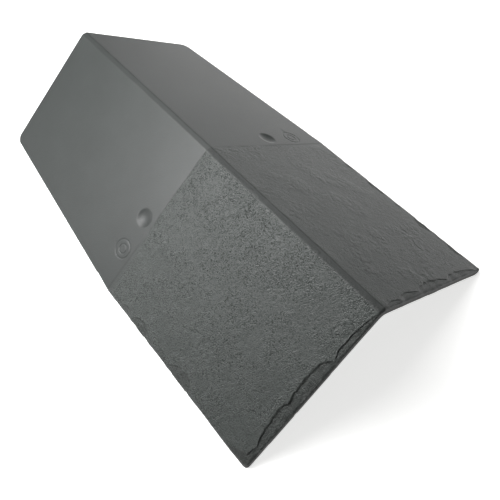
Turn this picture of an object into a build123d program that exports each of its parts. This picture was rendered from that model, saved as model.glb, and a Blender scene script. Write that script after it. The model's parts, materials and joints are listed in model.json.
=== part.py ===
"""Moulded slate-effect ridge tile: two sloping wings that meet at a narrow flat ridge.

The exposed half has dressed, flaked edges and a ribbed underside. The smooth tail narrows
towards its end and is lapped by the next tile. X runs across the ridge, Y along it with the
exposed end at -Y, and Z is up from the floor on which the long edges stand.
"""
import os
from math import atan2, cos, radians, sin, tan

from build123d import *

# Driving dimensions, in millimetres and degrees
length = 406.0
exposure = 197.0
wing = 154.0
tail_wing = 130.0
slope = 34.5
tail_wall = 3.2
exposed_wall = 4.5
rim_depth = 6.0
rim_width = 7.0
texture_step = 0.2
ridge_flat = 4.8
apex_radius = 2.5
inner_apex_radius = 6.0
tail_corner_radius = 7.0
front_corner_radius = 3.0
foot_land = 2.0
edge_bevel = 0.8
overrun = 5.0

# Ribs under the exposed half
rib_width = 3.0
pocket_columns = 3
pocket_rows = 3
pocket_corner_radius = 2.5
apex_land = 14.0

# Nail dishes and gauge rings on the smooth tail
dish_diameter = 17.0
dish_depth = 1.7
mark_setback = 11.5
dish_down_wing = 83.0
ring_diameters = (17.2, 8.6)
ring_down_wing = 117.5
ring_groove_width = 0.9
ring_groove_depth = 0.4

# Flakes struck off the dressed edges. Each leaves a sloping cliff round a bench that dips to the
# edge. Each row has the flake's middle and its length, as shares of the edge, then its reach on to
# the face and its depth at the edge, as shares of the largest flake.
flake_reach = 9.5
flake_depth = 2.4
cliff_share = 0.75
cliff_draft = 45.0
end_flake_shares = {
    "left": (
        (0.19, 0.27, 0.58, 0.80),
        (0.46, 0.31, 1.10, 1.00),
        (0.75, 0.25, 1.05, 1.00),
        (0.94, 0.13, 0.60, 0.90),
    ),
    "right": (
        (0.12, 0.13, 0.45, 0.60),
        (0.25, 0.16, 0.67, 0.75),
        (0.48, 0.27, 0.85, 0.85),
        (0.74, 0.22, 0.73, 0.85),
        (0.94, 0.12, 0.45, 0.65),
    ),
}
side_flake_shares = {
    "left": (
        (0.07, 0.10, 0.55, 0.45),
        (0.19, 0.05, 0.25, 0.25),
        (0.26, 0.08, 0.45, 0.35),
        (0.43, 0.12, 1.10, 0.45),
        (0.58, 0.09, 0.60, 0.35),
        (0.73, 0.11, 0.95, 0.45),
        (0.84, 0.07, 0.60, 0.35),
        (0.92, 0.06, 0.40, 0.30),
    ),
    "right": (
        (0.12, 0.08, 0.60, 0.40),
        (0.21, 0.05, 0.35, 0.30),
        (0.31, 0.09, 0.75, 0.45),
        (0.47, 0.06, 0.40, 0.30),
        (0.61, 0.11, 0.70, 0.40),
        (0.80, 0.08, 0.50, 0.35),
        (0.91, 0.06, 0.35, 0.30),
    ),
}

# Sizes that follow from those above
run = cos(radians(slope))
fall = sin(radians(slope))
front = -length / 2
boundary = front + exposure
tail_length = length - exposure
foot_cut = foot_land * run * fall
exposed_apex = wing * fall + rim_depth * run - foot_cut
tail_apex = exposed_apex + texture_step / run
pocket_depth = rim_depth - exposed_wall
pocket_span = wing - apex_land - rim_width
pocket_run = exposure - 2 * rim_width
column = (pocket_span + rib_width) / pocket_columns
row = (pocket_run + rib_width) / pocket_rows
dish_radius = (dish_diameter**2 / 4 + dish_depth**2) / (2 * dish_depth)
side_signs = {"left": -1, "right": 1}


def ridge_section(along, apex, wall):
    """Section across the ridge at one place along it: a bent sheet with a flat on its apex."""
    edge_x, edge_z = wing * run, apex - wing * fall
    under_x, under_z = edge_x - wall * fall, edge_z - wall * run
    with BuildSketch(Plane.XZ.offset(-along)) as section:
        with BuildLine():
            Polyline(
                (0, apex),
                (edge_x, edge_z),
                (under_x, under_z),
                (0, apex - wall / run),
                (-under_x, under_z),
                (-edge_x, edge_z),
                close=True,
            )
        make_face()
        inner, outer = section.vertices().group_by(Axis.X)[2].sort_by(Axis.Y)
        chamfer(outer, length=ridge_flat / run / 2)
        fillet(inner, radius=inner_apex_radius)
        fillet(section.vertices().sort_by(Axis.Y)[-2:], radius=apex_radius)
    return section.sketch


def wing_plane(side, apex, along, drop=0.0):
    """A plane drop below one wing's face: local x runs down the wing, local y along the ridge."""
    sign = side_signs[side]
    face = Plane(origin=(0, along, apex), x_dir=(sign * run, 0, -fall), z_dir=(sign * fall, 0, run))
    return face.offset(-drop)


def upright_edges(sign):
    """Edges square to one wing's face, in groups from the exposed end to the tail's end."""
    return ridge_tile.edges().filter_by(Axis((0, 0, 0), (sign * fall, 0, run))).group_by(Axis.Y)


def on_exposed_face(face):
    """Whether a face is one of the two flat, outward faces of the exposed half."""
    above = face.center().Z - exposed_apex + abs(face.center().X) * fall / run
    return face.geom_type == GeomType.PLANE and abs(above) < texture_step / 2


def strike_flake(face, edge, inward, chord, reach, depth):
    """Break off a flake: a round scar whose bench dips from the foot of its cliff to the edge."""
    cliff = cliff_share * depth
    scar_radius = (chord**2 / 4 + reach**2) / (2 * reach)
    flare = tan(radians(cliff_draft))
    tilt = atan2(depth - cliff, reach)
    height = depth + overrun
    outward = Vector(0, 0, 1)
    axis = outward * cos(tilt) - inward * sin(tilt)
    back = scar_radius - reach
    middle = edge - inward * back - outward * (depth + back * tan(tilt))
    origin = face.from_local_coords(middle)
    direction = face.from_local_coords(middle + axis) - origin
    foot_radius = scar_radius - cliff * flare
    with Locations(Plane(origin=origin, z_dir=direction)):
        Cone(
            bottom_radius=foot_radius,
            top_radius=foot_radius + height * flare,
            height=height,
            align=(Align.CENTER, Align.CENTER, Align.MIN),
            mode=Mode.SUBTRACT,
        )


with BuildPart() as ridge_tile:
    # Bent sheet of the exposed half, with rounded corners and bevelled free edges
    extrude(ridge_section(boundary, exposed_apex, rim_depth), amount=exposure)
    for sign in side_signs.values():
        fillet(upright_edges(sign)[0], radius=front_corner_radius)
    free_edges = ridge_tile.faces().filter_by(on_exposed_face).edges()
    free_edges = free_edges.filter_by(lambda edge: edge.center().Y < boundary - overrun)
    chamfer(free_edges.filter_by(lambda edge: abs(edge.center().X) > ridge_flat), length=edge_bevel)

    # Pockets under it that leave a rim and ribs
    for side in side_signs:
        with BuildSketch(wing_plane(side, exposed_apex, front + exposure / 2, rim_depth)):
            with Locations((apex_land + pocket_span / 2, 0)):
                with GridLocations(column, row, pocket_columns, pocket_rows):
                    RectangleRounded(column - rib_width, row - rib_width, pocket_corner_radius)
        extrude(amount=pocket_depth, mode=Mode.SUBTRACT)

    # Thinner tail, which narrows from the full wing at the boundary to its rounded far corners
    extrude(ridge_section(length / 2, tail_apex, tail_wall), amount=tail_length)
    for side, sign in side_signs.items():
        with BuildSketch(wing_plane(side, tail_apex, boundary)):
            with BuildLine():
                Polyline(
                    (wing, 0),
                    (tail_wing, sign * tail_length),
                    (tail_wing, sign * (tail_length + overrun)),
                    (wing + overrun, sign * (tail_length + overrun)),
                    (wing + overrun, 0),
                    close=True,
                )
            make_face()
        extrude(amount=rim_depth + overrun, both=True, mode=Mode.SUBTRACT)
        fillet(upright_edges(sign)[-1], radius=tail_corner_radius)

    # The long edges stand on narrow flat lands
    split(bisect_by=Plane.XY, keep=Keep.TOP)

    for side, sign in side_signs.items():
        # A shallow dish that starts a nail, and two gauge rings further down the wing
        marks = wing_plane(side, tail_apex, boundary + mark_setback)
        with Locations(marks):
            with Locations((dish_down_wing, 0, dish_radius - dish_depth)):
                Sphere(dish_radius, mode=Mode.SUBTRACT)
        with BuildSketch(marks):
            with Locations((ring_down_wing, 0)):
                for diameter in ring_diameters:
                    Circle((diameter + ring_groove_width) / 2)
                    Circle((diameter - ring_groove_width) / 2, mode=Mode.SUBTRACT)
        extrude(amount=-ring_groove_depth, mode=Mode.SUBTRACT)

        # Flakes along the exposed end and along the long edge
        face = wing_plane(side, exposed_apex, front)
        for middle, chord, reach, depth in end_flake_shares[side]:
            strike_flake(
                face,
                edge=Vector(middle * wing, 0, 0),
                inward=Vector(0, sign, 0),
                chord=chord * wing,
                reach=reach * flake_reach,
                depth=depth * flake_depth,
            )
        for middle, chord, reach, depth in side_flake_shares[side]:
            strike_flake(
                face,
                edge=Vector(wing, sign * middle * exposure, 0),
                inward=Vector(-1, 0, 0),
                chord=chord * exposure,
                reach=reach * flake_reach,
                depth=depth * flake_depth,
            )

ridge_tile.part.label = "ridge_tile"
os.makedirs("parts", exist_ok=True)
export_step(ridge_tile.part, "parts/ridge_tile.step")
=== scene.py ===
"""Moulded slate-effect ridge tile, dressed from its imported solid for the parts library.

The tile is one closed mesh, worked out with numpy: a folded sheet whose near half has a riven
slate face with flaked edges and a ribbed underside, and whose far half is a smooth, narrower
tail. X runs across the ridge, Y along it with the exposed end at -Y, and Z is up from the floor.
"""
import json
from math import atan2, cos, radians, sin, tan

import bpy
import numpy as np
from bpy.props import FloatProperty, FloatVectorProperty, IntProperty, PointerProperty
from mathutils import Matrix, Vector


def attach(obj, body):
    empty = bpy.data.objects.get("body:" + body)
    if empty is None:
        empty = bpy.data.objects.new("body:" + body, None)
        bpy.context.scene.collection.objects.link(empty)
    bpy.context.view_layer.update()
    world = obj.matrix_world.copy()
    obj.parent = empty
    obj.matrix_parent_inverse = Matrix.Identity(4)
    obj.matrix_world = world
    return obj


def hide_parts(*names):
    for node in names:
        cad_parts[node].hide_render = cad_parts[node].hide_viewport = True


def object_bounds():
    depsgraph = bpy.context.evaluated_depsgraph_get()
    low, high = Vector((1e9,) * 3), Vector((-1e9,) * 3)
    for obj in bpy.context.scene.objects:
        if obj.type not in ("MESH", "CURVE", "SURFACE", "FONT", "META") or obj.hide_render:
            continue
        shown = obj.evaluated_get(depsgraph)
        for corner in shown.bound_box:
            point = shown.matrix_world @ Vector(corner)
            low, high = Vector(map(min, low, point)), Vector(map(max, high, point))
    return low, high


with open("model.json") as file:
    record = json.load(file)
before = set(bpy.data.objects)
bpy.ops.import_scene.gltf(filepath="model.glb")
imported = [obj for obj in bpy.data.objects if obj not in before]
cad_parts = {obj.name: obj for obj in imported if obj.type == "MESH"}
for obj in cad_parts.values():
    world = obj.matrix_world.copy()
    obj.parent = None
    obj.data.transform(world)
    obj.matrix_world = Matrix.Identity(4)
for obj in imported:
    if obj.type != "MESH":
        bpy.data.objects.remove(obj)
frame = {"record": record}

bl_info = {
    "name": "Slate-effect ridge tile",
    "version": (1, 0, 0),
    "blender": (4, 5, 0),
    "location": "View3D > Sidebar > Ridge Tile",
    "description": "Builds a moulded slate-effect ridge tile and a plain studio for it",
    "category": "Add Mesh",
}

MM = 0.001

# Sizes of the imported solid, in metres and radians
CAD_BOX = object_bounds()
MOUNTS = {mount["name"]: mount for mount in frame["record"]["mounts"]}
LAP_NORMAL = np.array(MOUNTS["right_lap_face"]["axis"])
LAP_POINT = np.array(MOUNTS["right_lap_face"]["pos_m"])
SEAT_POINT = np.array(MOUNTS["right_tail_seat"]["pos_m"])
DISH_POINT = np.array(MOUNTS["right_nail_dish"]["pos_m"])
SLOPE = atan2(LAP_NORMAL[0], LAP_NORMAL[2])
FRONT = CAD_BOX[0].y
BACK = CAD_BOX[1].y
BOUNDARY = 2 * MOUNTS["right_edge_land"]["pos_m"][1] - FRONT
WING = CAD_BOX[1].x / cos(SLOPE)
TAIL_APEX = LAP_POINT[2] + LAP_POINT[0] * tan(SLOPE)
TAIL_WALL = float((LAP_POINT - SEAT_POINT) @ LAP_NORMAL)
DISH_DEPTH = float((LAP_POINT - DISH_POINT) @ LAP_NORMAL)
DISH_ALONG = DISH_POINT[1]
DISH_DOWN_WING = float(DISH_POINT[0] * cos(SLOPE) + (TAIL_APEX - DISH_POINT[2]) * sin(SLOPE))

# Ribs under the exposed half
APEX_LAND = 14 * MM
RIM_WIDTH = 7 * MM
RIB_WIDTH = 3 * MM
POCKETS = 3
POCKET_COLUMN = (WING - APEX_LAND - RIM_WIDTH + RIB_WIDTH) / POCKETS
POCKET_ROW = (BOUNDARY - FRONT - 2 * RIM_WIDTH + RIB_WIDTH) / POCKETS

# Flakes broken off the exposed end, for the left and right wing. Each row has where the flake
# starts, reaches furthest and ends, as shares of the wing from the ridge down, then its reach back
# from the end, as a share of the largest.
END_FLAKE_SHARES = (
    (
        (0.02, 0.26, 0.32, 0.55),
        (0.31, 0.45, 0.72, 1.00),
        (0.60, 0.66, 0.91, 0.97),
        (0.86, 0.93, 1.04, 0.60),
    ),
    (
        (0.03, 0.11, 0.18, 0.42),
        (0.17, 0.22, 0.36, 0.64),
        (0.33, 0.45, 0.66, 0.80),
        (0.62, 0.73, 0.92, 0.68),
        (0.91, 0.94, 0.98, 0.25),
    ),
)

# Flakes along the long edges, as shares of the exposed length from its end
SIDE_FLAKE_SHARES = (
    (
        (-0.05, 0.02, 0.09, 0.70),
        (0.16, 0.19, 0.22, 0.18),
        (0.22, 0.25, 0.33, 0.40),
        (0.37, 0.42, 0.52, 1.00),
        (0.53, 0.57, 0.65, 0.56),
        (0.67, 0.73, 0.80, 0.86),
        (0.81, 0.84, 0.89, 0.56),
        (0.88, 0.91, 0.95, 0.40),
        (0.96, 0.98, 1.01, 0.32),
    ),
    (
        (0.09, 0.12, 0.18, 0.62),
        (0.19, 0.21, 0.25, 0.32),
        (0.26, 0.30, 0.37, 0.78),
        (0.44, 0.46, 0.51, 0.42),
        (0.55, 0.60, 0.68, 0.72),
        (0.76, 0.79, 0.85, 0.50),
        (0.88, 0.90, 0.94, 0.35),
    ),
)

# Soft rectangular lights, all turned to one point in the middle of the tile. Each row has a name,
# a place and a size in metres, and a power in watts. Most of the light comes from above and from
# the left, and a low strip on the right lights the right wing.
LIGHT_AIM = (0, 0, 0.03)
LIGHTS = (
    ("key", (-0.40, 0.25, 0.45), (0.15, 0.15), 1.3),
    ("left", (-0.55, 0.35, 0.40), (0.4, 0.4), 0.85),
    ("far", (-0.42, 0.68, 0.35), (0.4, 0.4), 0.2),
    ("near", (-0.13, 0.15, 0.42), (0.3, 0.3), 1.4),
    ("top", (0.0, 0.45, 1.10), (0.8, 0.8), 7.6),
    ("fill", (0.0, 0.001, 1.20), (0.8, 0.8), 1.0),
    ("right", (0.95, 0.60, 0.14), (0.8, 0.26), 0.56),
)

# Numbers of a colour mix node's sockets
MIX_A, MIX_B, MIX_RESULT = 6, 7, 2


def linear(code):
    """Linear red, green and blue of an sRGB hex colour."""
    srgb = np.array([int(code[i:i + 2], 16) for i in (1, 3, 5)]) / 255
    light = np.where(srgb <= 0.04045, srgb / 12.92, ((srgb + 0.055) / 1.055) ** 2.4)
    return tuple(light.tolist())


class RidgeTileShape(bpy.types.PropertyGroup):
    """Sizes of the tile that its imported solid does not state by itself"""

    tail_wing: FloatProperty(
        name="Tail wing", description="Width of one wing at the end of the tail",
        default=130 * MM, min=50 * MM, unit="LENGTH")
    texture_step: FloatProperty(
        name="Texture step", description="Drop from the smooth tail to the riven face",
        default=0.2 * MM, min=0, unit="LENGTH")
    rim_depth: FloatProperty(
        name="Rim depth", description="Depth of the rim round the exposed half",
        default=6 * MM, min=3 * MM, unit="LENGTH")
    exposed_wall: FloatProperty(
        name="Exposed wall", description="Thickness of the exposed half between its ribs",
        default=4.5 * MM, min=1 * MM, unit="LENGTH")
    ridge_flat: FloatProperty(
        name="Ridge flat",
        description="Width of the flat along the ridge, up to the wings' own lines",
        default=4.8 * MM, min=2 * MM, unit="LENGTH")
    apex_radius: FloatProperty(
        name="Ridge radius", description="Rounding on both sides of the flat along the ridge",
        default=0.8 * MM, min=0.5 * MM, unit="LENGTH")
    inner_apex_radius: FloatProperty(
        name="Inner ridge radius", description="Rounding of the ridge on the inside",
        default=6 * MM, min=1 * MM, unit="LENGTH")
    tail_corner: FloatProperty(
        name="Tail corner", description="Rounding of the two far corners",
        default=7 * MM, min=1 * MM, unit="LENGTH")
    left_corner: FloatProperty(
        name="Left corner", description="Rounding of the left-hand corner of the exposed end",
        default=4.5 * MM, min=1 * MM, unit="LENGTH")
    right_corner: FloatProperty(
        name="Right corner", description="Rounding of the right-hand corner of the exposed end",
        default=1.2 * MM, min=1 * MM, unit="LENGTH")
    dish_diameter: FloatProperty(
        name="Nail dish", description="Width of the shallow dish that starts a nail",
        default=17 * MM, min=4 * MM, unit="LENGTH")
    ring_down_wing: FloatProperty(
        name="Gauge ring place", description="Distance of the gauge rings from the ridge",
        default=117.5 * MM, unit="LENGTH")
    ring_diameter: FloatProperty(
        name="Gauge ring", description="Width of the outer gauge ring; the inner is half of it",
        default=17.2 * MM, min=4 * MM, unit="LENGTH")
    flake_reach: FloatProperty(
        name="Flake reach", description="How far the largest flake runs on to the face",
        default=10.5 * MM, min=1 * MM, unit="LENGTH")
    flake_drop: FloatProperty(
        name="Flake drop", description="Height of the cliff where a large flake broke off the end",
        default=1.4 * MM, min=0, unit="LENGTH")
    edge_drop: FloatProperty(
        name="Edge drop", description="How far a large flake lowers the edge of the end",
        default=1.7 * MM, min=0, unit="LENGTH")
    chip_drop: FloatProperty(
        name="Chip drop",
        description="Height of the cliff where a large chip broke off a long edge",
        default=1.1 * MM, min=0, unit="LENGTH")
    chip_edge_drop: FloatProperty(
        name="Chip edge drop", description="How far a large chip lowers a long edge",
        default=0.25 * MM, min=0, unit="LENGTH")
    right_end: FloatProperty(
        name="Right end", description="Strength of the flakes on the right wing's end",
        default=0.45, min=0, max=1, subtype="FACTOR")
    right_relief: FloatProperty(
        name="Right relief", description="Strength of the riven relief on the right wing",
        default=0.7, min=0, max=1, subtype="FACTOR")
    right_grain: FloatProperty(
        name="Right grain", description="Strength of the fine grain on the right wing",
        default=0.26, min=0, max=1, subtype="FACTOR")
    corner_drop: FloatProperty(
        name="Corner drop",
        description="How far the knocked left-hand corner of the end is lowered",
        default=1.0 * MM, min=0, unit="LENGTH")
    relief: FloatProperty(
        name="Relief", description="Strength of the riven relief on the exposed half",
        default=1.0, min=0, max=2, subtype="FACTOR")
    seed: IntProperty(
        name="Seed", description="Start of the random numbers that shape the riven face",
        default=11, min=0)


class SlateFinish(bpy.types.PropertyGroup):
    """Colours of the moulding"""

    riven: FloatVectorProperty(
        name="Riven face", description="Colour of the textured half", subtype="COLOR",
        default=linear("#3E4240"), min=0, max=1)
    smooth: FloatVectorProperty(
        name="Smooth tail", description="Colour of the smooth half", subtype="COLOR",
        default=linear("#3B3E3D"), min=0, max=1)
    # The colour of the flakes is darker than the moulding: it is painted shade on the flakes, the
    # ridge band, the end's bevel, the knocked corner and the broken walls
    broken_shade: FloatVectorProperty(
        name="Flaked edge", description="Colour inside the flakes along the edges",
        subtype="COLOR", default=linear("#1E201E"), min=0, max=1)


class RidgeTileStage(bpy.types.PropertyGroup):
    """Floor, lights and camera"""

    floor: FloatVectorProperty(
        name="Floor", description="Colour of the floor", subtype="COLOR",
        default=linear("#EFEFEE"), min=0, max=1)
    glow: FloatProperty(
        name="Floor glow", description="Light that the translucent floor gives off from below",
        default=0.85, min=0)
    ambient: FloatProperty(
        name="Room light", description="Strength of the even light of the room",
        default=0.0, min=0)
    lens: FloatProperty(
        name="Lens", description="Focal length on a sensor 36 mm wide, in millimetres",
        default=41.74, min=10, max=200)
    place: FloatVectorProperty(
        name="Camera place", description="Where the camera stands", subtype="XYZ",
        unit="LENGTH", default=(-0.15484, -0.30285, 0.43845))
    aim: FloatVectorProperty(
        name="Camera aim", description="Point of the floor in the middle of the picture",
        subtype="XYZ", unit="LENGTH", default=(-0.00559, -0.05578, 0))
    roll: FloatProperty(
        name="Camera roll", description="Turn of the camera about its own axis",
        default=radians(-8.786), subtype="ANGLE")


def stations(*stretches):
    """Places along a line: each stretch (start, stop, step) is divided evenly, ends shared."""
    parts = [
        np.linspace(start, stop, max(1, round((stop - start) / step)), endpoint=False)
        for start, stop, step in stretches
    ]
    return np.concatenate(parts + [[stretches[-1][1]]])


def ease(t, low=0.0, high=1.0):
    """An S curve that leaves 0 at low and arrives level at 1 at high: 3t^2 - 2t^3."""
    t = np.clip((t - low) / (high - low), 0, 1)
    return t * t * (3 - 2 * t)


def hump(t):
    """A hump that is 1 where t is a half and 0 where t is 0 or 1: 4t(1 - t)."""
    return 4 * t * (1 - t)


def lattice_noise(u, v, seed, period=256):
    """Smooth noise from about -1 to 1: each point of a square lattice of unit cells has a slope in
    a random direction, and the heights of the slopes at a cell's four corners are joined across
    the cell by an easing curve."""
    turn = np.random.default_rng(seed).uniform(0, 2 * np.pi, (period, period))
    row, column = np.floor(u).astype(int), np.floor(v).astype(int)
    across, along = u - row, v - column
    steepness = 1.5

    def height(i, j):
        """Height at each place of the slope that stands at one corner of its cell."""
        direction = turn[(row + i) % period, (column + j) % period]
        return steepness * (np.cos(direction) * (across - i) + np.sin(direction) * (along - j))

    start = height(0, 0) + (height(1, 0) - height(0, 0)) * ease(across)
    end = height(0, 1) + (height(1, 1) - height(0, 1)) * ease(across)
    return start + (end - start) * ease(along)


def layered_noise(u, v, seed, layers=3):
    """Lattice noise with finer copies added, each half as wide and half as high as the last, and
    turned against it by a set angle."""
    turn = radians(37)
    c, d = cos(turn), sin(turn)
    total = 0
    for k in range(layers):
        total = total + lattice_noise(u, v, seed + k) / 2**k
        u, v = 2 * (c * u - d * v), 2 * (d * u + c * v)
    return total / (2 - 2 ** (1 - layers))


def fold(girth, apex, flat, radius):
    """A sheet folded over the ridge. Girth is measured down the wings from their sharp apex. The
    sheet lies level over the middle of the flat, follows an arc of the radius that turns through
    the slope on each side of it, and then runs straight. Both parts near the ridge share out its
    girth evenly. Gives x and z, and the x and z of the outward normal."""
    level = flat / 2 - radius * tan(SLOPE / 2)
    bend = level + radius * sin(SLOPE)
    straight_from = bend / cos(SLOPE)
    near = np.clip(abs(girth) / straight_from, 0, 1) * (level + radius * SLOPE)
    turn = np.clip((near - level) / radius, 0, SLOPE)
    straight = np.maximum(abs(girth) - straight_from, 0)
    x = np.minimum(near, level) + radius * np.sin(turn) + straight * cos(SLOPE)
    top = apex - flat / 2 * tan(SLOPE)
    z = top - radius * (1 - np.cos(turn)) - straight * sin(SLOPE)
    return np.sign(girth) * x, z, np.sign(girth) * np.sin(turn), np.cos(turn)


def bent_girth(shape):
    """Girth from the sharp apex to where the wing's face runs straight."""
    return shape.ridge_flat / 2 / cos(SLOPE) + shape.apex_radius * tan(SLOPE / 2)


def half_girth(along, shape):
    """Girth from the ridge to the long edge: even on the exposed half, which lies the texture
    step deeper, and narrowing in a straight line along the tail."""
    share = (along - BOUNDARY) / (BACK - BOUNDARY)
    tail = WING + (shape.tail_wing - WING) * share
    return np.where(along < BOUNDARY, exposed_girth(shape), tail)


def exposed_girth(shape):
    """Girth of the exposed half, carried square to the face up to the level of the tail."""
    return WING + shape.texture_step * tan(SLOPE)


def round_corner(inset, setback, radius):
    """Maps the square corner of an outline to a quarter disc: each distance from the corner of
    the square is shortened by the root of one less half the square of the other."""
    s = np.clip(1 - inset / radius, 0, 1)
    t = np.clip(1 - setback / radius, 0, 1)
    inset = inset + radius * s * (1 - np.sqrt(1 - t * t / 2))
    setback = setback + radius * t * (1 - np.sqrt(1 - s * s / 2))
    return inset, setback


def outline(girth, along, shape):
    """Rounds the four corners of the tile's outline, in girth and along the ridge."""
    inset = half_girth(along, shape) - abs(girth)
    front_corner = np.where(girth > 0, shape.right_corner, shape.left_corner)
    inset, setback = round_corner(inset, along - FRONT, front_corner)
    inset, setback = round_corner(inset, BACK - FRONT - setback, shape.tail_corner)
    along = BACK - setback
    return np.sign(girth) * (half_girth(along, shape) - inset), along


def scar_line(place, shares, size, reach, seed):
    """How far in the flakes reach at each place along an edge. A flake's line rises from its start
    to its full reach and falls to its end, each as a power of one less the square of the distance
    from its middle. The furthest flake counts, roughened by noise a few millimetres long, and the
    line never comes nearer to the edge than a worn arris."""
    arris, ragged, raggedness, roundness = 0.7 * MM, 6 * MM, 0.18, 0.6
    start, middle, end, share = (column[:, None] for column in np.array(shares).T)
    span = np.where(place / size < middle, middle - start, end - middle)
    out = np.clip((place / size - middle) / span, -1, 1)
    furthest = (share * (1 - out**2) ** roundness).max(axis=0)
    rough = 1 + raggedness * layered_noise(place / ragged, 0 * place, seed)
    return np.maximum(reach * furthest * rough, arris)


def squeeze(distance, margin, line, nibble_share):
    """Moves grid lines so that the one at the margin falls on the scar line: distances up to the
    margin are scaled to run from a nibbled edge, a set share of the line, to the line, and the
    next two margins' width takes up the difference."""
    edge = nibble_share * np.where(line < margin, line, 0)
    outer = edge + (line - edge) * distance / margin
    inner = line + (distance - margin) * (3 * margin - line) / (2 * margin)
    return np.where(distance <= margin, outer, np.where(distance < 3 * margin, inner, distance))


def riven_relief(girth, along, shape):
    """Height of the riven face: broad waves, cleavage ledges that rise slowly and drop in a short
    step wherever a slow noise passes a whole level, and wrinkles a few millimetres wide, bent by
    a slower noise and fading out in smoother patches."""
    wave_size, wave_height = 55 * MM, 0.18 * MM
    ledge_size, ledge_levels, ledge_height = 26 * MM, 3.6, 0.50 * MM
    bend_size, bend = 7 * MM, 2.2 * MM
    wrinkle_length, wrinkle_width, wrinkle_height = 2.6 * MM, 2.1 * MM, 0.17 * MM
    patch_size, patch_least, patch_from, patch_to = 24 * MM, 0.4, -0.35, 0.25
    kept_from, kept_to, drop_from = -0.2, 0.5, 0.84
    seed = shape.seed
    waves = wave_height * lattice_noise(girth / wave_size, along / wave_size, seed)

    level = ledge_levels * layered_noise(girth / ledge_size, along / ledge_size, seed + 10, layers=4)
    part = level - np.floor(level)
    kept = lattice_noise(girth / ledge_size, along / ledge_size, seed + 20)
    kept = ease(kept, kept_from, kept_to)
    ledges = ledge_height * kept * (part - ease(part, drop_from, 1))

    shift = bend * lattice_noise(girth / bend_size, along / bend_size, seed + 30)
    slide = bend * lattice_noise(girth / bend_size, along / bend_size, seed + 31)
    patch = layered_noise(girth / patch_size, along / patch_size, seed + 35)
    strength = patch_least + (1 - patch_least) * ease(patch, patch_from, patch_to)
    wrinkles = wrinkle_height * strength * layered_noise(
        (girth + shift) / wrinkle_length, (along + slide) / wrinkle_width, seed + 40, layers=1)
    return shape.relief * (waves + ledges + wrinkles)


def mark_depth(girth, along, shape):
    """Depth of the marks pressed into the tail: dishes whose depth falls off with the square of
    the distance from their middle, and pairs of ring grooves with an eased section."""
    groove, groove_depth = 0.7 * MM, 0.4 * MM
    out = np.hypot(abs(girth) - DISH_DOWN_WING, along - DISH_ALONG)
    depth = DISH_DEPTH * np.clip(1 - (2 * out / shape.dish_diameter) ** 2, 0, 1)
    out = np.hypot(abs(girth) - shape.ring_down_wing, along - DISH_ALONG)
    for radius in (shape.ring_diameter / 2, shape.ring_diameter / 4):
        depth = depth + groove_depth * (1 - ease(abs(out - radius) / groove))
    return depth


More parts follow.
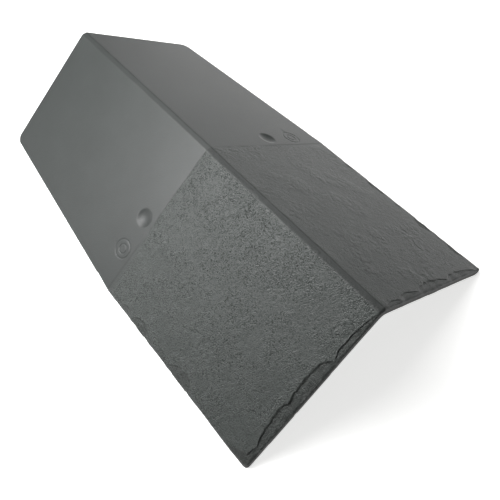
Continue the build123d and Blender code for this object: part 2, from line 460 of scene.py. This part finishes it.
def tile_top(shape):
    """The upper face as a grid of rows along the ridge and columns across it. Each point lies on
    the fold at its girth, lowered along the normal by the step and relief of the riven face, the
    flakes, the nail dishes and the gauge rings. Grid lines are moved on to the scar lines. Gives
    the points, their girth and place along the ridge, how grained they are, and how much they take
    of the dark colour of the flakes, which is painted shade, and of their roughness."""
    grain, fine, ring_step, coarse = 1.05 * MM, 0.9 * MM, 0.6 * MM, 8 * MM
    margin, lip, step_run, calm = 8 * MM, 1.1 * MM, 0.8 * MM, 20 * MM
    bend_steps = 6
    full = exposed_girth(shape)
    bent = bent_girth(shape)
    dish = shape.dish_diameter / 2 + fine
    ring = shape.ring_diameter / 2 + fine
    wing = stations(
        (0, bent, bent / bend_steps),
        (bent, DISH_DOWN_WING - dish, grain),
        (DISH_DOWN_WING - dish, DISH_DOWN_WING + dish, fine),
        (DISH_DOWN_WING + dish, shape.ring_down_wing - ring, grain),
        (shape.ring_down_wing - ring, shape.ring_down_wing + ring, ring_step),
        (shape.ring_down_wing + ring, full - margin - lip, grain),
        (full - margin - lip, full - margin + lip, lip / 2),
        (full - margin + lip, full, fine),
    )
    girths = np.concatenate([-wing[:0:-1], wing])
    alongs = stations(
        (FRONT, FRONT + margin - lip, fine),
        (FRONT + margin - lip, FRONT + margin + lip, lip / 2),
        (FRONT + margin + lip, BOUNDARY - step_run, grain),
        (BOUNDARY - step_run, BOUNDARY + step_run / 2, step_run),
        (BOUNDARY + step_run / 2, DISH_ALONG - ring, fine),
        (DISH_ALONG - ring, DISH_ALONG + ring, ring_step),
        (DISH_ALONG + ring, BACK - shape.tail_corner, coarse),
        (BACK - shape.tail_corner, BACK, shape.tail_corner / bend_steps),
    )
    girth, along = np.meshgrid(girths, alongs)
    on_right = girth > 0

    # Reach of the flakes from each edge, calmed along the tail
    end_lines = [
        scar_line(abs(girths), shares, WING, shape.flake_reach, shape.seed + 50 + k)
        for k, shares in enumerate(END_FLAKE_SHARES)]
    side_lines = [
        scar_line(alongs - FRONT, shares, BOUNDARY - FRONT, shape.flake_reach, shape.seed + 60 + k)
        for k, shares in enumerate(SIDE_FLAKE_SHARES)]
    end_line = np.where(on_right, end_lines[1], end_lines[0])
    side_line = np.where(on_right, side_lines[1][:, None], side_lines[0][:, None])
    side_line = side_line + (margin - side_line) * ease(along - BOUNDARY, 0, calm)

    # Places on the sheet
    end_share, side_share = (along - FRONT) / margin, (full - abs(girth)) / margin
    end_nibble_share, side_nibble_share = 0.03, 0.08
    along = FRONT + squeeze(along - FRONT, margin, end_line, end_nibble_share)
    down = full - squeeze(full - abs(girth), margin, side_line, side_nibble_share)
    stretch = (half_girth(along, shape) - bent) / (full - bent)
    girth = np.where(abs(girth) < bent, girth, np.sign(girth) * (bent + (down - bent) * stretch))
    girth, along = outline(girth, along, shape)

    # Depth below the smooth face, with only a trace of the relief on the ridge
    ridge_trace, ridge_shade, ridge_from, ridge_to = 0.3, 0.4, 0.9, 1.2
    fade, sharp_share = 9 * MM, 1 / 3
    riven = ease(BOUNDARY - along, 0, step_run)
    off_ridge = ease(abs(girth), ridge_from * bent, ridge_to * bent)
    fade_run = step_run + fade * ease(abs(girth), sharp_share * full, full)
    faced = ease(BOUNDARY - along, 0, fade_run) * (ridge_trace + (1 - ridge_trace) * off_ridge)
    relief_share = np.where(on_right, shape.right_relief, 1)
    depth = riven * shape.texture_step - faced * relief_share * riven_relief(girth, along, shape)
    grained = faced * np.where(on_right, shape.right_grain, 1)
    depth = depth + mark_depth(girth, along, shape)

    # Flakes: a cliff at the broken line, then a bench of broken layers that runs out to the edge.
    # The cliffs, the risers of the layers and the benches are darkened with the flake colour as
    # painted shade, on the long edges far less on the right wing than on the left
    layer, layer_length, layer_width, wander = 0.45 * MM, 9 * MM, 3 * MM, 0.5 * MM
    layer_flat, full_cliff_share, mean_size, size_swing = 0.5, 0.6, 0.85, 0.35
    cliff_shade, riser_shade, bench_shade, right_side_shade = 0.4, 0.35, 0.4, 0.05
    end_strength = np.where(on_right, shape.right_end, 1)
    side_shade = np.where(on_right, right_side_shade, bench_shade)
    # Painted shade: the flake colour darkens the band along the ridge on the riven half
    flaked = ridge_shade * riven * (1 - off_ridge)
    for share, line, strength, cliff, edge_drop, beside, inward, level_shade in (
        (end_share, end_line, end_strength, shape.flake_drop, shape.edge_drop,
         girth, along, bench_shade),
        (side_share, side_line, 1, shape.chip_drop, shape.chip_edge_drop,
         along, girth, side_shade),
    ):
        swing = lattice_noise(beside / layer_length, 0 * beside, shape.seed + 85)
        size = strength * np.clip(line / shape.flake_reach / full_cliff_share, 0, 1)
        size = size * (mean_size + size_swing * swing)
        step = riven * ease((1 - share) * margin / lip)
        rough = layered_noise(beside / layer_length, inward / layer_width, shape.seed + 90)
        dip = edge_drop + (cliff - edge_drop) * np.clip(share, 0, 1) + wander * rough
        level = np.floor(dip / layer)
        riser = ease(dip / layer - level, layer_flat, 1)
        dip = layer * (level + riser)
        depth = np.maximum(depth, step * (shape.texture_step + size * dip))
        bench = (level_shade + riser_shade * hump(riser)) * step
        flake_shade = np.maximum(cliff_shade * hump(step), bench)
        flaked = np.maximum(flaked, size * flake_shade)

    # Brink: the end's arris is broken to a steep, ragged bevel that dies out at the corners, and is
    # darkened with the flake colour as painted shade
    brink_run, brink_drop, brink_size, brink_calm = 1.2 * MM, 1.2 * MM, 6 * MM, 10 * MM
    brink_swing, brink_shade, brink_full = 0.3, 0.3, 0.3
    inset = half_girth(along, shape) - abs(girth)
    swing = layered_noise(girth / brink_size, 0 * girth, shape.seed + 95)
    ragged_run = brink_run * (1 + brink_swing * swing)
    brink = np.clip(1 - (along - FRONT) / ragged_run, 0, 1) * ease(inset, 0, brink_calm)
    depth = depth + brink_drop * brink
    flaked = np.maximum(flaked, brink_shade * ease(brink, 0, brink_full))

    # Knocked corner of the left wing: a low cliff, then a slope down to the corner itself, darkened
    # with the flake colour as painted shade
    corner_along, corner_across, corner_cliff = 25 * MM, 13 * MM, 0.6 * MM
    corner_run, corner_shade = 0.12, 0.6
    knocked = np.clip(1 - inset / corner_across - (along - FRONT) / corner_along, 0, 1)
    knocked = np.where(on_right, 0, knocked)
    fallen = ease(knocked, 0, corner_run)
    corner_depth = shape.texture_step + corner_cliff + shape.corner_drop * knocked
    depth = np.maximum(depth, fallen * corner_depth)
    flaked = np.maximum(flaked, corner_shade * fallen)

    x, z, normal_x, normal_z = fold(girth, TAIL_APEX, shape.ridge_flat, shape.apex_radius)
    points = np.stack([x - depth * normal_x, along, z - depth * normal_z], axis=-1)
    return points, girth, along, grained, flaked


def under_depth(girth, along, shape):
    """Depth of the underside below the smooth face: the thin wall of the tail, the rim depth of
    the exposed half, and less in its pockets, which are rows of rounded rectangles."""
    corner, draft = 2.5 * MM, 0.4 * MM

    def beyond(place, pitch):
        """Distance of a place outside the straight part of the nearest pocket's side."""
        middle = pitch * np.clip(np.floor(place / pitch), 0, POCKETS - 1) + (pitch - RIB_WIDTH) / 2
        return abs(place - middle) - (pitch - RIB_WIDTH) / 2 + corner

    across = beyond(abs(girth) - APEX_LAND, POCKET_COLUMN)
    forward = beyond(along - FRONT - RIM_WIDTH, POCKET_ROW)
    outside = np.hypot(np.maximum(across, 0), np.maximum(forward, 0)) - corner
    outside = outside + np.minimum(np.maximum(across, forward), 0)
    pocket = np.clip(0.5 - outside / draft, 0, 1) * (shape.rim_depth - shape.exposed_wall)
    return np.where(along < BOUNDARY, shape.rim_depth + shape.texture_step - pocket, TAIL_WALL)


def under_points(girth, along, depth, shape, square=1.0):
    """Points of the underside: the fold moved in by the depth, and cut off level with the floor.
    Where square is 1 the girth is shortened so that the long edge stays square to the face, and
    where it is 0 the edge is plumb."""
    shortened = girth * (1 - square * depth * tan(SLOPE) / half_girth(along, shape))
    radius = shape.inner_apex_radius
    flat = 2 * radius * tan(SLOPE / 2)
    x, z, _, _ = fold(shortened, TAIL_APEX - depth / cos(SLOPE), flat, radius)
    return np.stack([x, along, np.maximum(z, 0)], axis=-1)


def tile_underside(shape):
    """The ribbed underside as a grid set in from the outline by the width of the edge land. Grid
    lines stand on both sides of each pocket wall and in its rounded corners."""
    land, step_run = 2 * MM, 0.2 * MM
    bend_lines, tail_lines, corner_lines, bend_share, corner_share = 7, 14, 3, 1.5, 0.7
    wall = np.array([-0.2, 0.2, 0.7, 1.4, 2.5]) * MM
    full = exposed_girth(shape)
    bent = bend_share * shape.inner_apex_radius * tan(SLOPE)

    def pocket_lines(start, pitch):
        """Grid lines beside both walls of each pocket in a row of them."""
        low = start + pitch * np.arange(POCKETS)[:, None]
        return np.concatenate([low + wall, low + pitch - RIB_WIDTH - wall], axis=None)

    wing = np.sort(np.concatenate([
        np.linspace(0, bent, bend_lines), pocket_lines(APEX_LAND, POCKET_COLUMN), [full - land]]))
    girths = np.concatenate([-wing[:0:-1], wing])
    alongs = np.sort(np.concatenate([
        [FRONT + land], pocket_lines(FRONT + RIM_WIDTH, POCKET_ROW),
        [BOUNDARY - step_run, BOUNDARY + step_run],
        np.linspace(BOUNDARY + RIM_WIDTH, BACK - shape.tail_corner, tail_lines),
        np.linspace(BACK - corner_share * shape.tail_corner, BACK - land, corner_lines)]))
    girth, along = np.meshgrid(girths, alongs)
    stretch = (half_girth(along, shape) - land - bent) / (full - land - bent)
    down = bent + (abs(girth) - bent) * stretch
    girth = np.where(abs(girth) <= bent, girth, np.sign(girth) * down)
    girth, along = outline(girth, along, shape)
    points = under_points(girth, along, under_depth(girth, along, shape), shape)
    return points, girth, along


def border(grid):
    """The border of a grid in order: along its first row, up its last column, and back."""
    return np.concatenate([grid[0, :-1], grid[:-1, -1], grid[-1, :0:-1], grid[:0:-1, 0]])


def border_places(girth, along):
    """Places round a grid's border from 0 to 4: one unit a side, by the share of the side."""
    sides = (girth[0], along[:, -1], -girth[-1, ::-1], -along[::-1, 0])
    return np.concatenate([
        k + ((side - side[0]) / (side[-1] - side[0]))[:-1] for k, side in enumerate(sides)])


def grid_numbers(grid, start):
    """Numbers of a grid's points, counted row by row from start."""
    return start + np.arange(grid.shape[0] * grid.shape[1]).reshape(grid.shape[:2])


def grid_quads(number):
    """Quads of a grid, facing the side from which its rows run up and its columns run right."""
    corners = [number[:-1, :-1], number[:-1, 1:], number[1:, 1:], number[1:, :-1]]
    return np.stack(corners, axis=-1).reshape(-1, 4)


def zip_loops(outer, outer_place, inner, inner_place):
    """Triangles that close the band between two loops. Both loops' points are taken in order of
    place, and each one taken makes a triangle with the last points taken on either loop."""
    place = np.concatenate([outer_place[1:], [4], inner_place[1:], [4]])
    order = np.argsort(place, kind="stable")
    is_outer = order < len(outer)
    o = np.cumsum(is_outer) - is_outer
    i = np.cumsum(~is_outer) - ~is_outer
    last_outer, next_outer = outer[o % len(outer)], outer[(o + 1) % len(outer)]
    last_inner, next_inner = inner[i % len(inner)], inner[(i + 1) % len(inner)]
    third = np.where(is_outer, next_outer, next_inner)
    return np.stack([
        np.where(is_outer, last_outer, last_inner),
        np.where(is_outer, last_inner, third),
        np.where(is_outer, third, last_outer)], axis=-1)


def tile_surface(shape):
    """The closed tile: the upper face, walls that run straight from its border to the border of
    the underside, a band of triangles across the edge land, and the underside. Gives points,
    faces, how riven the face is at each point, and how much it takes of the dark colour of the
    flakes, which is painted shade, and of their roughness."""
    top, girth, along, riven, flaked = tile_top(shape)
    under, under_girth, under_along = tile_underside(shape)
    wall_shares = np.array([0.10, 0.35, 0.65, 0.90, 1.0])[:, None]

    # Walls down to the lower edge, plumb on the exposed half and square to the face on the tail
    length = border(along)
    exposed = length < BOUNDARY
    depth = np.where(exposed, shape.rim_depth + shape.texture_step, TAIL_WALL)
    upper, lower = border(top), under_points(border(girth), length, depth, shape, ~exposed)
    walls = upper + (lower - upper) * wall_shares[..., None]
    points = np.concatenate([top.reshape(-1, 3), walls.reshape(-1, 3), under.reshape(-1, 3)])

    # Faces, by the numbers of their points
    top_number = grid_numbers(top, 0)
    wall_number = grid_numbers(walls, top_number.size)
    under_number = grid_numbers(under, top_number.size + wall_number.size)
    loops = np.concatenate([border(top_number)[None], wall_number])
    ahead = np.roll(loops, -1, axis=1)
    sides = np.stack([loops[:-1], loops[1:], ahead[1:], ahead[:-1]], axis=-1).reshape(-1, 4)
    band = zip_loops(
        loops[-1], border_places(girth, along),
        border(under_number), border_places(under_girth, under_along))
    faces = [grid_quads(top_number), sides, band, grid_quads(under_number)[:, ::-1]]

    # Broken walls round the exposed half, dark all over with the flake colour as painted shade, and
    # a plain underside
    plain = np.zeros(under_number.size)
    broken_shade = np.broadcast_to(exposed, walls.shape[:2])
    riven = np.concatenate([riven, 0 * broken_shade, plain], axis=None)
    flaked = np.concatenate([flaked, broken_shade, plain], axis=None)
    return points, faces, riven, flaked


def add_node(tree, kind, inputs=(), **settings):
    """Adds a node, sets its own settings, and gives each input a value or a link."""
    node = tree.nodes.new(kind)
    for name, value in settings.items():
        setattr(node, name, value)
    for name, value in dict(inputs).items():
        if isinstance(value, bpy.types.NodeSocket):
            tree.links.new(value, node.inputs[name])
        else:
            node.inputs[name].default_value = value
    return node


def moulded_slate(finish):
    """Mineral-filled polymer, injection moulded in a tool taken from riven slate. The eye sees a
    matt grey with a dull sheen on the smooth tail, a fine speckled grain on the riven half whose
    pits and creases are darkened as painted shade, and rougher edges where flakes broke off,
    darkened as painted shade too."""
    # Sizes of the patterns. A pixel of the picture covers about 0.8 mm of the tile and finer pits
    # would not show, so the pits are drawn just coarser than that.
    pit_width, crease_width, patch_width, cloud_width = 1.1 * MM, 2.9 * MM, 22 * MM, 60 * MM
    grain_height, tail_trace = 0.66 * MM, 0.13

    # Levels of each noise between which its pattern comes in, and the tones and roughness it gives
    pit_from, pit_to, crease_half, crease_least = 0.29, 0.47, 0.04, 0.05
    patch_from, patch_to, patch_least, even_tone = 0.4, 0.54, 0.55, 0.69
    cloud_from, cloud_to, cloud_swing, noise_middle = 0.3, 0.7, 0.08, 0.5
    pit_shade, skin_tone = 0.48, 1.24
    tail_roughness, skin_roughness, pit_roughness, edge_roughness = 0.42, 0.37, 0.84, 0.66
    material = bpy.data.materials.new("moulded_slate")
    material.use_nodes = True
    tree = material.node_tree
    tree.nodes.clear()
    place = add_node(tree, "ShaderNodeTexCoord").outputs["Object"]
    riven = add_node(tree, "ShaderNodeAttribute", attribute_name="riven").outputs["Fac"]
    flaked = add_node(tree, "ShaderNodeAttribute", attribute_name="flaked").outputs["Fac"]

    # Grain of the riven face, 1 on its level skin: pits where a fine noise is low, creases where a
    # slower noise crosses its middle, both thinning out in smoother patches of the same even tone
    speckle = add_node(tree, "ShaderNodeTexNoise", {
        "Vector": place, "Scale": 1 / pit_width, "Detail": 1.0, "Roughness": 0.5,
        "Distortion": 0.6})
    pits = add_node(tree, "ShaderNodeMapRange", {
        "Value": speckle.outputs["Fac"], "From Min": pit_from, "From Max": pit_to},
        interpolation_type="SMOOTHSTEP")
    wander = add_node(tree, "ShaderNodeTexNoise", {
        "Vector": place, "Scale": 1 / crease_width, "Detail": 1.0, "Roughness": 0.5,
        "Distortion": 0.8})
    level = add_node(tree, "ShaderNodeMath", {
        0: wander.outputs["Fac"], 1: noise_middle}, operation="SUBTRACT")
    away = add_node(tree, "ShaderNodeMath", {0: level.outputs["Value"]}, operation="ABSOLUTE")
    creases = add_node(tree, "ShaderNodeMapRange", {
        "Value": away.outputs["Value"], "From Max": crease_half, "To Min": crease_least},
        interpolation_type="SMOOTHSTEP")
    rugged = add_node(tree, "ShaderNodeMath", {
        0: pits.outputs["Result"], 1: creases.outputs["Result"]}, operation="MULTIPLY")
    patch = add_node(tree, "ShaderNodeTexNoise", {
        "Vector": place, "Scale": 1 / patch_width, "Detail": 2.0, "Roughness": 0.6})
    grained = add_node(tree, "ShaderNodeMapRange", {
        "Value": patch.outputs["Fac"], "From Min": patch_from, "From Max": patch_to,
        "To Min": patch_least})
    grain = add_node(tree, "ShaderNodeMix", {
        "Factor": grained.outputs["Result"], "A": even_tone, "B": rugged.outputs["Value"]})
    cloud = add_node(tree, "ShaderNodeTexNoise", {
        "Vector": place, "Scale": 1 / cloud_width, "Detail": 4.0, "Roughness": 0.75})

    # Colour of the tail, the riven face and the broken edges, whose darkness is painted shade,
    # speckled with painted shade in the pits and creases, and clouded
    faced = add_node(tree, "ShaderNodeMix", {
        "Factor": riven, MIX_A: (*finish.smooth, 1), MIX_B: (*finish.riven, 1)},
        data_type="RGBA")
    edged = add_node(tree, "ShaderNodeMix", {
        "Factor": flaked, MIX_A: faced.outputs[MIX_RESULT], MIX_B: (*finish.broken_shade, 1)},
        data_type="RGBA")
    # Painted shade: the pits and creases of the grain are darkened, and the level skin is lightened
    pit_and_crease_shade = add_node(tree, "ShaderNodeMapRange", {
        "Value": grain.outputs["Result"], "To Min": pit_shade, "To Max": skin_tone})
    speckled = add_node(tree, "ShaderNodeMix", {
        "Factor": riven, MIX_A: edged.outputs[MIX_RESULT], MIX_B: pit_and_crease_shade.outputs["Result"]},
        data_type="RGBA", blend_type="MULTIPLY")
    shaded = add_node(tree, "ShaderNodeMapRange", {
        "Value": cloud.outputs["Fac"], "From Min": cloud_from, "From Max": cloud_to,
        "To Min": 1 - cloud_swing, "To Max": 1 + cloud_swing})
    clouded = add_node(tree, "ShaderNodeMix", {
        "Factor": 1.0, MIX_A: speckled.outputs[MIX_RESULT], MIX_B: shaded.outputs["Result"]},
        data_type="RGBA", blend_type="MULTIPLY")

    # Dull sheen, which is lost in the pits and creases and on the broken edges
    glint = add_node(tree, "ShaderNodeMapRange", {
        "Value": grain.outputs["Result"], "To Min": pit_roughness, "To Max": skin_roughness})
    gloss = add_node(tree, "ShaderNodeMapRange", {
        "Value": riven, "To Min": tail_roughness, "To Max": glint.outputs["Result"]})
    dulled = add_node(tree, "ShaderNodeMapRange", {
        "Value": flaked, "To Min": gloss.outputs["Result"], "To Max": edge_roughness})

    # Grain stands full height on the riven half and is only a trace on the tail
    held = add_node(tree, "ShaderNodeMapRange", {
        "Value": riven, "To Min": tail_trace, "To Max": grained.outputs["Result"]})
    height = add_node(tree, "ShaderNodeMath", {
        0: speckle.outputs["Fac"], 1: held.outputs["Result"]}, operation="MULTIPLY")
    bump = add_node(tree, "ShaderNodeBump", {
        "Height": height.outputs["Value"], "Distance": grain_height, "Strength": 1.0})

    shader = add_node(tree, "ShaderNodeBsdfPrincipled", {
        "Base Color": clouded.outputs[MIX_RESULT], "Roughness": dulled.outputs["Result"],
        "Normal": bump.outputs["Normal"], "IOR": 1.49, "Metallic": 0.0})
    add_node(tree, "ShaderNodeOutputMaterial", {"Surface": shader.outputs["BSDF"]})
    return material


def light_table(stage):
    """Opal acrylic sheet, cast and lit from below: an even, pale floor with only faint shadows."""
    material = bpy.data.materials.new("opal_acrylic_floor")
    material.use_nodes = True
    tree = material.node_tree
    tree.nodes.clear()
    shader = add_node(tree, "ShaderNodeBsdfPrincipled", {
        "Base Color": (*stage.floor, 1), "Roughness": 0.8, "IOR": 1.49,
        "Emission Color": (*stage.floor, 1), "Emission Strength": stage.glow})
    add_node(tree, "ShaderNodeOutputMaterial", {"Surface": shader.outputs["BSDF"]})
    return material


def put_mesh(name, points, faces):
    """Makes an object at the origin from points and lists of faces."""
    mesh = bpy.data.meshes.new(name)
    mesh.from_pydata(points.tolist(), [], [face for part in faces for face in part.tolist()])
    if mesh.validate():
        raise RuntimeError(f"{name} has faces that do not close")
    piece = bpy.data.objects.new(name, mesh)
    bpy.context.scene.collection.objects.link(piece)
    return piece


def facing(place, target):
    """The matrix that stands a light or a camera at a place and turns it to face a target."""
    place = Vector(place)
    turn = (Vector(target) - place).to_track_quat("-Z", "Y")
    return Matrix.Translation(place) @ turn.to_matrix().to_4x4()


class RIDGETILE_OT_tile(bpy.types.Operator):
    """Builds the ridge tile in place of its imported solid"""

    bl_idname = "ridgetile.tile"
    bl_label = "Ridge tile"

    def execute(self, context):
        crease = radians(38)
        points, faces, riven, flaked = tile_surface(context.scene.ridge_tile_shape)
        tile = put_mesh("slate_effect_ridge_tile", points, faces)
        for name, values in (("riven", riven), ("flaked", flaked)):
            tile.data.attributes.new(name, "FLOAT", "POINT").data.foreach_set("value", values)
        tile.data.shade_smooth()
        tile.data.set_sharp_from_angle(angle=crease)
        tile.data.materials.append(moulded_slate(context.scene.slate_finish))
        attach(tile, "root")
        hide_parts("ridge_tile")
        return {"FINISHED"}


class RIDGETILE_OT_stage(bpy.types.Operator):
    """Sets out the floor, the lights and the camera"""

    bl_idname = "ridgetile.stage"
    bl_label = "Stage"

    def execute(self, context):
        scene, stage = context.scene, context.scene.ridge_tile_stage

        # Pale floor
        floor_half, floor_lines = 3.0, 9
        side = np.linspace(-floor_half, floor_half, floor_lines)
        x, y = np.meshgrid(side, side)
        points = np.stack([x, y, 0 * x], axis=-1)
        floor = put_mesh("floor", points.reshape(-1, 3), [grid_quads(grid_numbers(points, 0))])
        floor.data.materials.append(light_table(stage))

        # Soft lights
        for name, place, size, power in LIGHTS:
            light = bpy.data.lights.new(name, "AREA")
            light.shape, light.size, light.size_y, light.energy = "RECTANGLE", *size, power
            lamp = bpy.data.objects.new(name, light)
            lamp.matrix_world = facing(place, LIGHT_AIM)
            scene.collection.objects.link(lamp)

        # Even light of the room
        world = bpy.data.worlds.new("room")
        world.use_nodes = True
        world.node_tree.nodes["Background"].inputs["Color"].default_value = (1, 1, 1, 1)
        world.node_tree.nodes["Background"].inputs["Strength"].default_value = stage.ambient
        scene.world = world
        scene.view_settings.view_transform = "Standard"

        # Camera, turned about its own axis as the picture is
        camera = bpy.data.cameras.new("camera")
        camera.sensor_width, camera.lens = 36.0, stage.lens
        body = bpy.data.objects.new("camera", camera)
        roll = Matrix.Rotation(stage.roll, 4, "Z")
        body.matrix_world = facing(stage.place, stage.aim) @ roll
        scene.collection.objects.link(body)
        scene.camera = body
        return {"FINISHED"}


class RIDGETILE_PT_panel(bpy.types.Panel):
    """Lists the pieces of the tile and its sizes and colours"""

    bl_idname = "RIDGETILE_PT_panel"
    bl_label = "Ridge Tile"
    bl_space_type = "VIEW_3D"
    bl_region_type = "UI"
    bl_category = "Ridge Tile"

    def draw(self, context):
        for operator, group in (
            (RIDGETILE_OT_tile, context.scene.ridge_tile_shape),
            (None, context.scene.slate_finish),
            (RIDGETILE_OT_stage, context.scene.ridge_tile_stage),
        ):
            box = self.layout.box()
            if operator:
                box.operator(operator.bl_idname)
            for name in group.__annotations__:
                box.prop(group, name)


CLASSES = (
    RidgeTileShape, SlateFinish, RidgeTileStage,
    RIDGETILE_OT_tile, RIDGETILE_OT_stage, RIDGETILE_PT_panel,
)


def register():
    """Adds the classes, and the property groups to the scene."""
    for item in CLASSES:
        bpy.utils.register_class(item)
    bpy.types.Scene.ridge_tile_shape = PointerProperty(type=RidgeTileShape)
    bpy.types.Scene.slate_finish = PointerProperty(type=SlateFinish)
    bpy.types.Scene.ridge_tile_stage = PointerProperty(type=RidgeTileStage)


def unregister():
    """Removes them again."""
    del bpy.types.Scene.ridge_tile_shape
    del bpy.types.Scene.slate_finish
    del bpy.types.Scene.ridge_tile_stage
    for item in reversed(CLASSES):
        bpy.utils.unregister_class(item)


def main():
    """Builds the tile and its stage."""
    register()
    bpy.ops.ridgetile.tile()
    bpy.ops.ridgetile.stage()


if __name__ == "__main__":
    main()
